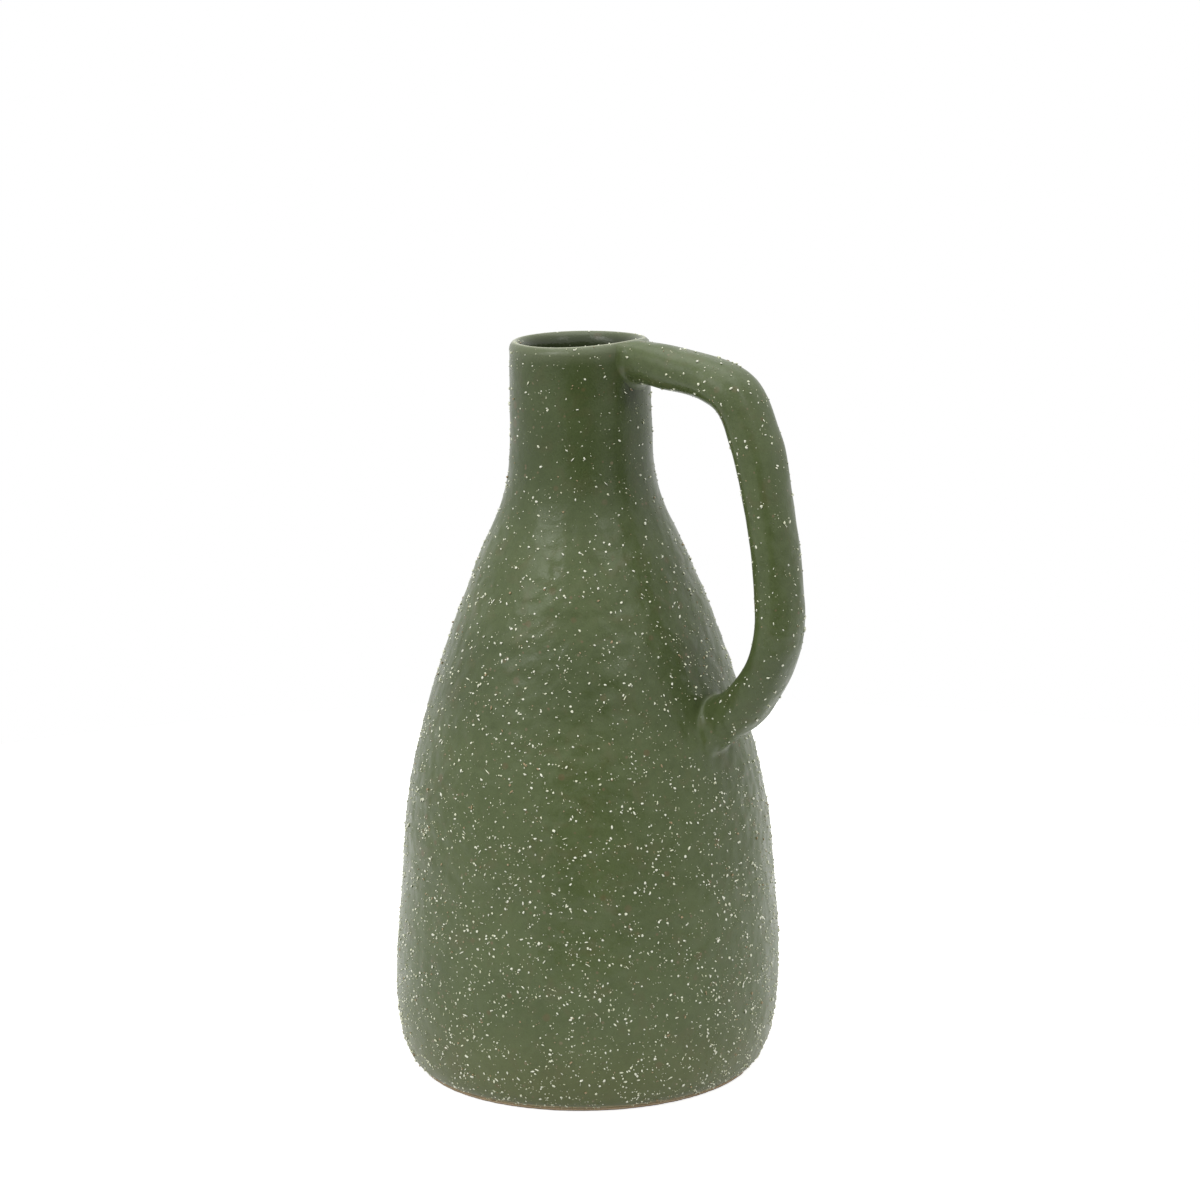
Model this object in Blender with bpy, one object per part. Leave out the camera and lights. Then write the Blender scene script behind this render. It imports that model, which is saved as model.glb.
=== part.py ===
"""Stoneware vase with one pulled handle, modelled as the clay pieces it is put together from.

It stands on z = 0 with its axis on Z and its handle towards +X. Nothing on it moves. The
pieces of a pot are stuck together with slip, so each lies one slip line from the next.
All sizes are in metres, and all angles in degrees.
"""

import math

import bmesh
import bpy
from mathutils import Vector
from mathutils.geometry import interpolate_bezier

# Whole vase
HEIGHT = 0.250
WALL = 0.0049
SLIP_LINE = 0.0003

# Body: an oval heel out to the belly, then a side that leans in more and more. The heel's
# width and the side's setback are measured in from the belly's radius.
BELLY_RADIUS = 0.0655
BELLY_HEIGHT = 0.029
HEEL_WIDTH = 0.0105
SIDE_HEIGHT = 0.100
SIDE_SETBACK = 0.0058
SIDE_LEAN = 10.5

# Neck: the shoulder's line leans by this angle and turns into the straight neck
NECK_RADIUS = 0.0238
NECK_LENGTH = 0.0479
SHOULDER_LEAN = 24.1
NECK_TURN_RADIUS = 0.0600

# Joints between floor, wall and neck
FLOOR_THICKNESS = 0.0065
SEAM_COIL_RADIUS = 0.0035
COLLAR_LENGTH = 0.051
COLLAR_LAP = 0.0040

# Handle: an oval strap in the XZ plane
HANDLE_WIDTH = 0.0183
HANDLE_DEPTH = 0.0142
UPPER_ROOT_BELOW_RIM = 0.0064
LOWER_ROOT_BELOW_RIM = 0.1282
# Its bends, as distances out from the neck and down from the rim
HANDLE_BENDS = [
    (0.0166, 0.0081),
    (0.0292, 0.0103),
    (0.0374, 0.0137),
    (0.0462, 0.0296),
    (0.0504, 0.0467),
    (0.0542, 0.0729),
    (0.0540, 0.0962),
    (0.0446, 0.1140),
]

# Clay coils round the handle's roots; the upper one stays open under the rim
ROOT_COIL_RADIUS = 0.0030
UPPER_COIL_START = 72

# Fineness of the round shapes
TURN_STEPS = 72
BEND_STEPS = 5
HANDLE_SIDES = 24
COIL_SIDES = 12


def clear_scene():
    for old in list(bpy.data.objects):
        bpy.data.objects.remove(old, do_unlink=True)


def clay_material(name, colour, roughness):
    material = bpy.data.materials.new(name)
    material.use_nodes = True
    shader = material.node_tree.nodes["Principled BSDF"]
    shader.inputs["Base Color"].default_value = (*colour, 1.0)
    shader.inputs["Roughness"].default_value = roughness
    shader.inputs["Metallic"].default_value = 0.0
    return material


def arc(centre, across, up, start, end, steps):
    """Points on an oval arc, from one angle to another."""
    points = []
    for step in range(steps + 1):
        angle = math.radians(start + (end - start) * step / steps)
        points.append(Vector(centre) + Vector((across * math.cos(angle), up * math.sin(angle))))
    return points


def leaning(angle):
    """The direction upwards that leans in by this angle."""
    return Vector((-math.sin(math.radians(angle)), math.cos(math.radians(angle))))


def span(start, start_way, end_way, end, steps):
    """An even curve from one point to another, without its last point."""
    pull = (end - start).length / 3
    return interpolate_bezier(start, start + start_way * pull, end - end_way * pull, end, steps + 1)[:-1]


def outside():
    """Outline of the outside, as (radius, height) points from the foot to under the lip."""
    heel = arc((BELLY_RADIUS - HEEL_WIDTH, BELLY_HEIGHT), HEEL_WIDTH, BELLY_HEIGHT, -90, 0, 9)
    belly = heel.pop()
    side = Vector((BELLY_RADIUS - SIDE_SETBACK, SIDE_HEIGHT))
    corner = Vector((NECK_RADIUS, HEIGHT - NECK_LENGTH))
    setback = NECK_TURN_RADIUS * math.tan(math.radians(SHOULDER_LEAN / 2))
    shoulder = corner - leaning(SHOULDER_LEAN) * setback
    centre = corner + Vector((NECK_TURN_RADIUS, setback))
    turn = arc(centre, NECK_TURN_RADIUS, NECK_TURN_RADIUS, 180 + SHOULDER_LEAN, 180, 5)
    lower = span(belly, leaning(0), leaning(SIDE_LEAN), side, 8)
    upper = span(side, leaning(SIDE_LEAN), leaning(SHOULDER_LEAN), shoulder, 9)
    return heel + lower + upper + turn + [Vector((NECK_RADIUS, HEIGHT - WALL / 2))]


def parallel(outline, distance):
    """The outline moved towards the inside by `distance`."""
    moved = []
    last = len(outline) - 1
    for i, point in enumerate(outline):
        along = outline[min(i + 1, last)] - outline[max(i - 1, 0)]
        inward = Vector((-along.y, along.x)).normalized()
        moved.append(point + inward * distance)
    return moved


def radius_at(outline, height):
    for low, high in zip(outline, outline[1:]):
        if low.y <= height <= high.y:
            share = (height - low.y) / (high.y - low.y)
            return low.x + (high.x - low.x) * share
    return outline[0].x if height < outline[0].y else outline[-1].x


def between(outline, low, high):
    """The stretch of an outline from one height to another."""
    middle = [point for point in outline if low + 1e-5 < point.y < high - 1e-5]
    start = Vector((radius_at(outline, low), low))
    end = Vector((radius_at(outline, high), high))
    return [start] + middle + [end]


def new_object(name, mesh, material):
    bmesh.ops.recalc_face_normals(mesh, faces=mesh.faces)
    data = bpy.data.meshes.new(name)
    mesh.to_mesh(data)
    mesh.free()
    data.shade_smooth()
    data.set_sharp_from_angle(angle=math.radians(40))
    if material:
        data.materials.append(material)
    item = bpy.data.objects.new(name, data)
    bpy.context.collection.objects.link(item)
    return item


def turned(name, outline, material=None):
    """A closed outline, or one with both ends on the axis, turned once about the axis."""
    mesh = bmesh.new()
    points = [mesh.verts.new((point[0], 0.0, point[1])) for point in outline]
    ends_on_axis = outline[0][0] == 0 and outline[-1][0] == 0
    following = points[1:] if ends_on_axis else points[1:] + points[:1]
    edges = [mesh.edges.new(pair) for pair in zip(points, following)]
    bmesh.ops.spin(
        mesh,
        geom=points + edges,
        axis=(0, 0, 1),
        cent=(0, 0, 0),
        angle=math.tau,
        steps=TURN_STEPS,
        use_merge=True,
    )
    bmesh.ops.remove_doubles(mesh, verts=mesh.verts, dist=1e-6)
    return new_object(name, mesh, material)


def skinned(name, rings, closed, material=None):
    """Faces stretched from ring to ring, with flat ends unless the rings close up."""
    mesh = bmesh.new()
    loops = [[mesh.verts.new(point) for point in ring] for ring in rings]
    following = loops[1:] + loops[:1] if closed else loops[1:]
    for ring, after in zip(loops, following):
        for i in range(len(ring)):
            j = (i + 1) % len(ring)
            mesh.faces.new((ring[i], ring[j], after[j], after[i]))
    if not closed:
        mesh.faces.new(loops[0])
        mesh.faces.new(loops[-1])
    return new_object(name, mesh, material)


def smooth_curve(points):
    """A curve through the points, whose directions weigh the near neighbour more."""
    last = len(points) - 1
    lengths = [(b - a).length for a, b in zip(points, points[1:])]
    ways = [(b - a).normalized() for a, b in zip(points, points[1:])]
    directions = [ways[0]]
    for i in range(1, last):
        share = lengths[i - 1] / (lengths[i - 1] + lengths[i])
        directions.append(ways[i - 1].lerp(ways[i], share))
    directions.append(ways[-1])
    curve = []
    for i in range(last):
        curve += span(points[i], directions[i], directions[i + 1], points[i + 1], BEND_STEPS)
    return curve + [points[-1]]


def handle_route():
    """The handle's middle line in the XZ plane, from inside the neck to inside the belly."""
    lower_root = HEIGHT - LOWER_ROOT_BELOW_RIM
    points = [Vector((NECK_RADIUS - WALL / 2, 0.0, HEIGHT - UPPER_ROOT_BELOW_RIM))]
    for out, down in HANDLE_BENDS:
        points.append(Vector((NECK_RADIUS + out, 0.0, HEIGHT - down)))
    points.append(Vector((radius_at(outside(), lower_root) - WALL, 0.0, lower_root)))
    return smooth_curve(points)


def handle_rings(grow=0.0):
    """Oval sections along the route, larger all round by `grow`."""
    route = handle_route()
    last = len(route) - 1
    rings = []
    for i, middle in enumerate(route):
        along = (route[min(i + 1, last)] - route[max(i - 1, 0)]).normalized()
        outward = Vector((-along.z, 0.0, along.x))
        ring = []
        for side in range(HANDLE_SIDES):
            angle = math.tau * side / HANDLE_SIDES
            depth = outward * math.cos(angle) * (HANDLE_DEPTH / 2 + grow)
            width = Vector((0.0, math.sin(angle) * (HANDLE_WIDTH / 2 + grow), 0.0))
            ring.append(middle + depth + width)
        rings.append(ring)
    return rings


def wall_crossing(route):
    """The point of the route where it comes out of the wall, and its direction there."""
    wall = outside()
    for point, after in zip(route, route[1:]):
        if after.x >= radius_at(wall, after.z):
            return after, (after - point).normalized()


def root_line(crossing, angles):
    """Where the handle's surface comes out of the wall, at each angle round the handle."""
    middle, along = crossing
    wall = outside()
    outward = Vector((-along.z, 0.0, along.x))
    line = []
    for angle in angles:
        start = middle + outward * math.cos(angle) * HANDLE_DEPTH / 2
        start.y = math.sin(angle) * HANDLE_WIDTH / 2
        covered, clear = -2 * HANDLE_DEPTH, 2 * HANDLE_DEPTH
        for _ in range(30):
            reach = (covered + clear) / 2
            point = start + along * reach
            if math.hypot(point.x, point.y) < radius_at(wall, point.z):
                covered = reach
            else:
                clear = reach
        line.append(start + along * clear)
    return line


def coil_rings(line, along, closed):
    """Round sections of a clay coil laid on the line."""
    rings = []
    count = len(line)
    for i, middle in enumerate(line):
        before = line[i - 1] if closed or i > 0 else middle
        after = line[(i + 1) % count] if closed or i < count - 1 else middle
        course = (after - before).normalized()
        side = course.cross(along).normalized()
        up = side.cross(course)
        ring = []
        for step in range(COIL_SIDES):
            angle = math.tau * (step + 0.5) / COIL_SIDES
            ring.append(middle + (side * math.cos(angle) + up * math.sin(angle)) * ROOT_COIL_RADIUS)
        rings.append(ring)
    return rings


def cutter(item):
    item.hide_render = True
    item.display_type = "WIRE"
    return item


def cut(item, tool):
    modifier = item.modifiers.new("clear of " + tool.name, "BOOLEAN")
    modifier.operation = "DIFFERENCE"
    modifier.solver = "EXACT"
    modifier.object = tool


def make_vase_space():
    """The room that floor, wall and neck take up, one slip line larger."""
    grown = parallel(outside(), -SLIP_LINE)
    top = HEIGHT + HANDLE_DEPTH
    outline = [(0.0, 0.0)] + grown + [(grown[-1].x, top), (0.0, top)]
    return cutter(turned("vase_space", outline))


def make_handle_space():
    return cutter(skinned("handle_space", handle_rings(SLIP_LINE), closed=False))


def make_base_slab(material):
    edge = between(outside(), 0.0, FLOOR_THICKNESS)
    turned("base_slab", [(0.0, 0.0)] + edge + [(0.0, FLOOR_THICKNESS)], material)


def make_base_seam_coil(material):
    floor = FLOOR_THICKNESS + SLIP_LINE
    back = between(parallel(outside(), WALL + SLIP_LINE), floor, floor + SEAM_COIL_RADIUS)
    corner = (back[0].x, floor)
    face = arc(corner, SEAM_COIL_RADIUS, SEAM_COIL_RADIUS, 105, 180, 5)
    turned("base_seam_coil", back + face, material)


def make_body_wall(material):
    low = FLOOR_THICKNESS + SLIP_LINE
    joint = HEIGHT - COLLAR_LENGTH
    ledge = joint - COLLAR_LAP - SLIP_LINE
    face = between(outside(), low, joint)
    rebate = between(parallel(outside(), (WALL - SLIP_LINE) / 2), ledge, joint)
    back = between(parallel(outside(), WALL), low, ledge)
    turned("body_wall", face + rebate[::-1] + back[::-1], material)


def make_neck_collar(material):
    joint = HEIGHT - COLLAR_LENGTH
    seat = joint + SLIP_LINE
    tongue_tip = joint - COLLAR_LAP
    top = HEIGHT - WALL / 2
    face = between(outside(), seat, top)
    lip = arc((NECK_RADIUS - WALL / 2, top), WALL / 2, WALL / 2, 0, 180, 10)[1:-1]
    bore = between(parallel(outside(), WALL), tongue_tip, top)
    tongue = between(parallel(outside(), (WALL + SLIP_LINE) / 2), tongue_tip, seat)
    turned("neck_collar", face + lip + bore[::-1] + tongue, material)


def make_handle(material, vase_space):
    handle = skinned("handle", handle_rings(), closed=False, material=material)
    cut(handle, vase_space)


def make_upper_handle_coil(material, vase_space, handle_space):
    crossing = wall_crossing(handle_route())
    span = 360 - 2 * UPPER_COIL_START
    angles = [math.radians(UPPER_COIL_START + span * step / 20) for step in range(21)]
    rings = coil_rings(root_line(crossing, angles), crossing[1], closed=False)
    coil = skinned("upper_handle_coil", rings, closed=False, material=material)
    cut(coil, vase_space)
    cut(coil, handle_space)


def make_lower_handle_coil(material, vase_space, handle_space):
    crossing = wall_crossing(handle_route()[::-1])
    angles = [math.tau * step / 28 for step in range(28)]
    rings = coil_rings(root_line(crossing, angles), crossing[1], closed=True)
    coil = skinned("lower_handle_coil", rings, closed=True, material=material)
    cut(coil, vase_space)
    cut(coil, handle_space)


def main():
    clear_scene()
    glaze = clay_material("green_glaze", (0.085, 0.115, 0.055), 0.45)
    bare_clay = clay_material("bare_stoneware", (0.46, 0.34, 0.22), 0.85)
    vase_space = make_vase_space()
    handle_space = make_handle_space()
    make_base_slab(bare_clay)
    make_base_seam_coil(glaze)
    make_body_wall(glaze)
    make_neck_collar(glaze)
    make_handle(glaze, vase_space)
    make_upper_handle_coil(glaze, vase_space, handle_space)
    make_lower_handle_coil(glaze, vase_space, handle_space)


main()
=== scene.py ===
"""Stoneware vase with one pulled handle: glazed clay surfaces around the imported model.

The vase stands on z = 0 with its axis on Z and its handle towards +X. Every size is in
metres. The glazed wall, the bare base, the handle and the grit in the glaze are surfaces
worked out with numpy; the colours and finishes are procedural, on object coordinates.
"""

import math

import bpy
import numpy as np
from mathutils import Matrix, Vector


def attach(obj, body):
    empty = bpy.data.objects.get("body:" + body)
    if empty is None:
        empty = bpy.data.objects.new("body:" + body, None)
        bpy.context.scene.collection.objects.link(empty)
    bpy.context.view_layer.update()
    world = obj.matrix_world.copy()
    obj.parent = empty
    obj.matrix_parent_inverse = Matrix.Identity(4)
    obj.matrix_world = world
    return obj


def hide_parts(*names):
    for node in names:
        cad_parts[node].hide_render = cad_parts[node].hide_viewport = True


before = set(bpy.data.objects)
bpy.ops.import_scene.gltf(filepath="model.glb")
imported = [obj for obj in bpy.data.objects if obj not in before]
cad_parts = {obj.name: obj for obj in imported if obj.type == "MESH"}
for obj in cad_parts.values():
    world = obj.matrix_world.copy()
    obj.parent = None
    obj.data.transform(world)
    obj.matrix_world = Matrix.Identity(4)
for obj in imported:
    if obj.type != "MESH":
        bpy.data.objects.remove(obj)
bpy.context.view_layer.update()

# The turned wall, with the same sizes as the solids
HEIGHT = 0.250
WALL = 0.0049
BELLY_RADIUS = 0.0655
BELLY_HEIGHT = 0.029
HEEL_WIDTH = 0.0105
SIDE_HEIGHT = 0.100
SIDE_SETBACK = 0.0058
SIDE_LEAN = 10.5
NECK_RADIUS = 0.0238
NECK_LENGTH = 0.0479
SHOULDER_LEAN = 24.1
NECK_TURN_RADIUS = 0.0600
FLOOR_THICKNESS = 0.0065
SEAM_COIL_RADIUS = 0.0035

# The lip is flatter outside, with a soft edge at either end, and slopes into the bore inside
LIP_OUTER = (0.0022, 0.0029)
LIP_OUTER_POWER = 1.70
LIP_INNER = (0.0027, 0.0042)
LIP_INNER_POWER = 1.8
# How far the rim stands above or below its height at every 30 degrees round from the handle
# (millimetres), and how far down the wall that carries on
RIM_LEVELS = (1.00, 0.15, 0.0, 0.0, 0.0, -0.10, -0.30, -0.45, -0.65, -0.80, -0.45, 0.22)
RIM_DEPTH = 0.009

# The wall isn't quite true: at each height its middle lies this far to one side, and its
# radius is this much larger or smaller (all in millimetres)
DRIFT_WAY = (0.813, 0.582)
UNTRUE = (
    (0.0, -0.70, 0.05),
    (6.0, -0.75, 0.15),
    (12.0, -0.60, 0.28),
    (18.0, -0.40, 0.00),
    (26.0, -0.36, 0.22),
    (35.0, 0.00, 0.12),
    (45.0, 0.30, 0.12),
    (53.0, 0.44, -0.20),
    (61.0, 0.55, -0.40),
    (73.0, 0.66, -0.24),
    (84.0, 0.52, 0.04),
    (97.0, 0.36, 0.27),
    (107.0, 0.25, 0.00),
    (116.0, 0.28, -0.20),
    (130.0, 0.30, -0.08),
    (148.0, 0.36, -0.05),
    (160.0, 0.56, 0.04),
    (168.0, 0.56, 0.12),
    (177.0, 0.22, 0.14),
    (190.0, 0.12, -0.02),
    (200.0, 0.22, -0.08),
    (210.0, 0.05, 0.28),
    (221.0, 0.14, 0.00),
    (233.0, -0.10, -0.16),
    (252.0, -0.15, -0.10),
)

# The glaze stops just above the table and leaves a rounded line of bare clay. The wall turns
# in a little more steeply there.
GLAZE_START = 0.00115
GLAZE_ROLL = 0.00024
BARE_EDGE = (0.00040, 0.00048)
BARE_EDGE_HEIGHT = 0.00065
BARE_EDGE_INSET = 0.00022
FOOT_TURN_IN = 0.0013
FOOT_TURN_HEIGHT = 0.0020

# Painted shade on the neck under the handle's upper root: distance from the axis, turn and height
ROOT_SHADE_PLACE = (0.0242, -0.16, 0.2332)

# The handle's middle line and section
HANDLE_WIDTH = 0.0183
HANDLE_DEPTH = 0.0142
UPPER_ROOT_BELOW_RIM = 0.0064
LOWER_ROOT_BELOW_RIM = 0.1282
HANDLE_BENDS = (
    (0.0166, 0.0081),
    (0.0292, 0.0103),
    (0.0374, 0.0137),
    (0.0462, 0.0296),
    (0.0504, 0.0467),
    (0.0542, 0.0729),
    (0.0540, 0.0962),
    (0.0446, 0.1140),
)
# A low swelling at the bend: its height as a share of the strap, and the middle and width of
# its bell curve along the handle (metres) and round the strap (degrees)
SWELLING = 0.10
SWELLING_PLACE = (0.041, 0.012)
SWELLING_TURN = (97.0, 25.0)
# How far each root's clay is drawn out along the wall, and then along the strap (millimetres,
# at every eighth of a turn round the strap)
UPPER_ROOT = (
    (1.4, 2.8, 1.5, 0.9, 2.8, 2.4, 2.6, 1.6),
    (4.0, 4.2, 1.8, 1.2, 3.2, 3.0, 3.0, 3.6),
)
LOWER_ROOT = (
    (1.2, 3.6, 4.4, 2.4, 2.0, 2.2, 3.4, 2.6),
    (2.0, 6.0, 6.0, 3.6, 3.0, 3.0, 4.0, 3.0),
)

# Points round each piece
WALL_COLUMNS = 304
BASE_COLUMNS = 256
HANDLE_COLUMNS = 112

# The grit: the heights each piece of it covers and its number of grains, and the smallest
# and largest grain. It gets thinner with height.
WALL_GRAINS = (
    ("foot_grit", -1.0, 0.045, 5000),
    ("belly_grit", 0.045, 0.10, 4700),
    ("shoulder_grit", 0.10, 0.18, 3700),
    ("neck_grit", 0.18, 1.0, 1050),
)
HANDLE_GRAINS = 720
WALL_GRAIN_SIZES = (0.00028, 0.00100)
HANDLE_GRAIN_SIZES = (0.00028, 0.00105)
CROWD_HEIGHTS = (0.001, 0.012, 0.05, 0.10, 0.16, 0.21, 0.25)
CROWD = (1.9, 1.6, 1.35, 1.1, 0.8, 0.55, 0.6)
TAN_SHARE = 1 / 14

# The room: the vase's middle, how far the lamps and the card stand from it, and each lamp's
# turn from the camera's side and lift (degrees), width (metres) and power (watts)
MIDDLE = (0.0, 0.0, 0.17)
WORLD_LEVEL = 0.60
LAMP_DISTANCE = 1.3
LAMP_HEIGHT = 0.42
LAMPS = (
    ("left_soft_lamp", -46.0, 42.0, 0.50, 2.9),
    ("right_soft_lamp", 37.0, 42.0, 0.36, 1.1),
    ("side_soft_lamp", -64.0, 27.0, 0.32, 0.9),
)
# The lamp above: height, width and power
TOP_LAMP = (1.35, 1.2, 8.0)
CARD_DISTANCE = 1.47
FLOOR_RADIUS = 0.55


# ------------ plain shapes


def bent(value, power):
    """The value's size to a power, with the value's own sign."""
    return np.sign(value) * np.abs(value) ** power


def bell(value, middle, width):
    """1 at the middle, and exp(-(distance / width)^2) away from it."""
    return np.exp(-(((value - middle) / width) ** 2))


def oval_arc(centre, across, up, start, end, count, power=2.0):
    """Points of the oval |x / across|^power + |y / up|^power = 1 about a centre, at turns a
    from start to end: across * cos(a)^(2 / power) and up * sin(a)^(2 / power)."""
    angle = np.radians(np.linspace(start, end, count))
    x = across * bent(np.cos(angle), 2 / power)
    y = up * bent(np.sin(angle), 2 / power)
    return np.column_stack((centre[0] + x, centre[1] + y))


def turned(radius, angle, height, drift=0.0):
    """Points (radius cos(angle), radius sin(angle), height), moved sideways by the drift."""
    x = radius * np.cos(angle) + drift * DRIFT_WAY[0]
    y = radius * np.sin(angle) + drift * DRIFT_WAY[1]
    return np.stack(np.broadcast_arrays(x, y, height), axis=-1)


def leaning(angle):
    """The unit vector upwards that leans in by an angle: (-sin, cos)."""
    return np.array((-math.sin(math.radians(angle)), math.cos(math.radians(angle))))


def bezier(t, start, first, second, end):
    """Cubic Bezier curve: (1-t)^3 start + 3(1-t)^2 t first + 3(1-t) t^2 second + t^3 end."""
    u = 1 - t
    return u**3 * start + 3 * u**2 * t * first + 3 * u * t**2 * second + t**3 * end


def even_curve(start, start_way, end_way, end, count):
    """Bezier curve whose two handles are a third of its chord long."""
    pull = np.linalg.norm(end - start) / 3
    t = np.linspace(0.0, 1.0, count)[:, None]
    return bezier(t, start, start + start_way * pull, end - end_way * pull, end)


def lengths_along(points):
    """Distance from the first point to each point, along the line through them."""
    steps = np.linalg.norm(np.diff(points, axis=0), axis=1)
    return np.concatenate(([0.0], np.cumsum(steps)))


def at_lengths(points, along, wanted):
    """The line through the points, read at the wanted distances along it."""
    return np.stack([np.interp(wanted, along, values) for values in points.T], axis=-1)


def unit(vectors):
    """Vectors of length 1 in the same directions."""
    return vectors / np.linalg.norm(vectors, axis=-1, keepdims=True)


def smooth_step(low, high, value):
    """0 below low, 1 above high, and the cubic 3t^2 - 2t^3 in between."""
    t = np.clip((value - low) / (high - low), 0.0, 1.0)
    return t * t * (3 - 2 * t)


def round_about(angle, values):
    """Millimetres given at even steps round a turn, in metres at any angle: their mean with
    weights exp(k cos(difference)), which run smoothly from each one to the next."""
    count = len(values)
    total = weights = 0.0
    for i, value in enumerate(values):
        weight = np.exp((count / 3.8) ** 2 * (np.cos(angle - math.tau * i / count) - 1))
        total, weights = total + weight * value, weights + weight
    return total / weights / 1000


def ripple(points, seed, size, waves=10):
    """Soft unevenness with a spread of 1: plane waves of about the given length, added up."""
    rng = np.random.default_rng(seed)
    ways = unit(rng.normal(size=(waves, 3)))
    turns = math.tau / (size * rng.uniform(0.7, 1.5, waves))
    phases = rng.uniform(0.0, math.tau, waves)
    return np.sin(points @ (ways * turns[:, None]).T + phases).sum(axis=-1) * math.sqrt(2 / waves)


# ------------ meshes


def new_object(name, data):
    """An object in the scene that holds this mesh, lamp or camera."""
    item = bpy.data.objects.new(name, data)
    bpy.context.scene.collection.objects.link(item)
    return item


def new_piece(name, points, faces, material):
    """A smooth object at the origin with these points and faces."""
    mesh = bpy.data.meshes.new(name)
    mesh.from_pydata(points.tolist(), [], faces)
    mesh.update()
    mesh.shade_smooth()
    mesh.materials.append(material)
    return new_object(name, mesh)


def skin(name, grid, first_pole, last_pole, material):
    """Faces over a grid whose columns close up, with a point at each end closing the rows."""
    rows, columns = grid.shape[:2]
    index = np.arange(rows * columns).reshape(rows, columns)
    after = np.roll(index, -1, axis=1)
    quads = np.stack((index[:-1], after[:-1], after[1:], index[1:]), axis=-1).reshape(-1, 4)
    first = np.full(columns, rows * columns)
    last = first + 1
    start = np.stack((first, after[0], index[0]), axis=-1)
    end = np.stack((index[-1], after[-1], last), axis=-1)
    points = np.concatenate((grid.reshape(-1, 3), [first_pole, last_pole]))
    return new_piece(name, points, quads.tolist() + start.tolist() + end.tolist(), material)


def mark_points(piece, label, values):
    """Keeps one number with each point of a piece, for its material to read."""
    layer = piece.data.attributes.new(label, "FLOAT", "POINT")
    layer.data.foreach_set("value", np.asarray(values, np.float32).ravel())


# ------------ the turned wall


def outside_line():
    """(radius, height) from the foot to under the lip: an oval heel, two even curves, a
    hollow arc into the neck and the straight neck."""
    heel_centre = (BELLY_RADIUS - HEEL_WIDTH, BELLY_HEIGHT)
    heel = oval_arc(heel_centre, HEEL_WIDTH, BELLY_HEIGHT, -90, 0, 160)
    side = np.array((BELLY_RADIUS - SIDE_SETBACK, SIDE_HEIGHT))
    corner = np.array((NECK_RADIUS, HEIGHT - NECK_LENGTH))
    setback = NECK_TURN_RADIUS * math.tan(math.radians(SHOULDER_LEAN / 2))
    shoulder = corner - leaning(SHOULDER_LEAN) * setback
    centre = corner + np.array((NECK_TURN_RADIUS, setback))
    turn = oval_arc(centre, NECK_TURN_RADIUS, NECK_TURN_RADIUS, 180 + SHOULDER_LEAN, 180, 60)
    lower = even_curve(heel[-1], leaning(0), leaning(SIDE_LEAN), side, 120)
    upper = even_curve(side, leaning(SIDE_LEAN), leaning(SHOULDER_LEAN), shoulder, 120)
    neck = np.array(((NECK_RADIUS, HEIGHT - LIP_OUTER[1]),))
    return np.concatenate((heel, lower[1:], upper[1:], turn[1:], neck))


def inwards(line, distance):
    """The line moved towards the inside, square to itself."""
    along = unit(np.gradient(line, axis=0))
    return line + np.column_stack((-along[:, 1], along[:, 0])) * distance


def wall_section():
    """The wall's whole section from the middle of its underside, up the outside, over the
    lip, down the bore and along the floor to the axis, and the index of the lip's crest."""
    outer = outside_line()
    outer = outer[outer[:, 1] > GLAZE_START + GLAZE_ROLL]
    outer[:, 0] -= FOOT_TURN_IN * bell(outer[:, 1], 0.0, FOOT_TURN_HEIGHT)
    roll_centre = (outer[0, 0] - GLAZE_ROLL, outer[0, 1])
    roll = oval_arc(roll_centre, GLAZE_ROLL, GLAZE_ROLL, -90, 0, 8)
    crest = (NECK_RADIUS - LIP_OUTER[0], HEIGHT)
    lip_out = oval_arc((crest[0], HEIGHT - LIP_OUTER[1]), *LIP_OUTER, 0, 90, 40, LIP_OUTER_POWER)
    lip_in = oval_arc((crest[0], HEIGHT - LIP_INNER[1]), *LIP_INNER, 90, 180, 40, LIP_INNER_POWER)
    bore = inwards(outside_line(), WALL)
    corner_top = FLOOR_THICKNESS + SEAM_COIL_RADIUS
    bore_top = HEIGHT - LIP_INNER[1] - 1e-4
    bore = bore[(bore[:, 1] > corner_top) & (bore[:, 1] < bore_top)][::-1]
    corner_centre = (bore[-1, 0] - SEAM_COIL_RADIUS, corner_top)
    corner = oval_arc(corner_centre, SEAM_COIL_RADIUS, SEAM_COIL_RADIUS, 0, -90, 16)
    underside = np.array(((0.0, roll[0, 1]),))
    floor = np.array(((0.0, FLOOR_THICKNESS),))
    parts = (underside, roll, outer[1:], lip_out[1:], lip_in[1:], bore, corner[1:], floor)
    return np.concatenate(parts), sum(len(part) for part in parts[:4]) - 1


SECTION, CREST = wall_section()
# Distances run from the crest: above 0 down the outside, below 0 down the inside
SECTION_ALONG = lengths_along(SECTION)
SECTION_ALONG = SECTION_ALONG[CREST] - SECTION_ALONG
# The section's point where the rolled lower edge of the glaze meets the outside
ROLL_TOP = 9


def untrue_wall():
    """The heights, and the wall's sideways drift and change of radius there, read on a fine
    line through the given values and evened out by a bell curve 5 mm wide."""
    given = np.array(UNTRUE) / 1000
    heights = np.arange(-0.02, 0.2721, 0.0005)
    weights = bell(np.arange(-24, 25) * 0.0005, 0.0, 0.0050)
    weights /= weights.sum()
    drift, change = (
        np.convolve(np.interp(heights, given[:, 0], given[:, k]), weights, "valid") for k in (1, 2)
    )
    return heights[24:-24], drift, change


UNTRUE_HEIGHTS, UNTRUE_DRIFT, UNTRUE_CHANGE = untrue_wall()


def rim_level(angle, below):
    """How much the rim lies higher or lower here: its levels round the lip, times a bell
    curve that dies out down the wall."""
    return round_about(angle, RIM_LEVELS) * bell(below, 0.0, RIM_DEPTH)


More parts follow.
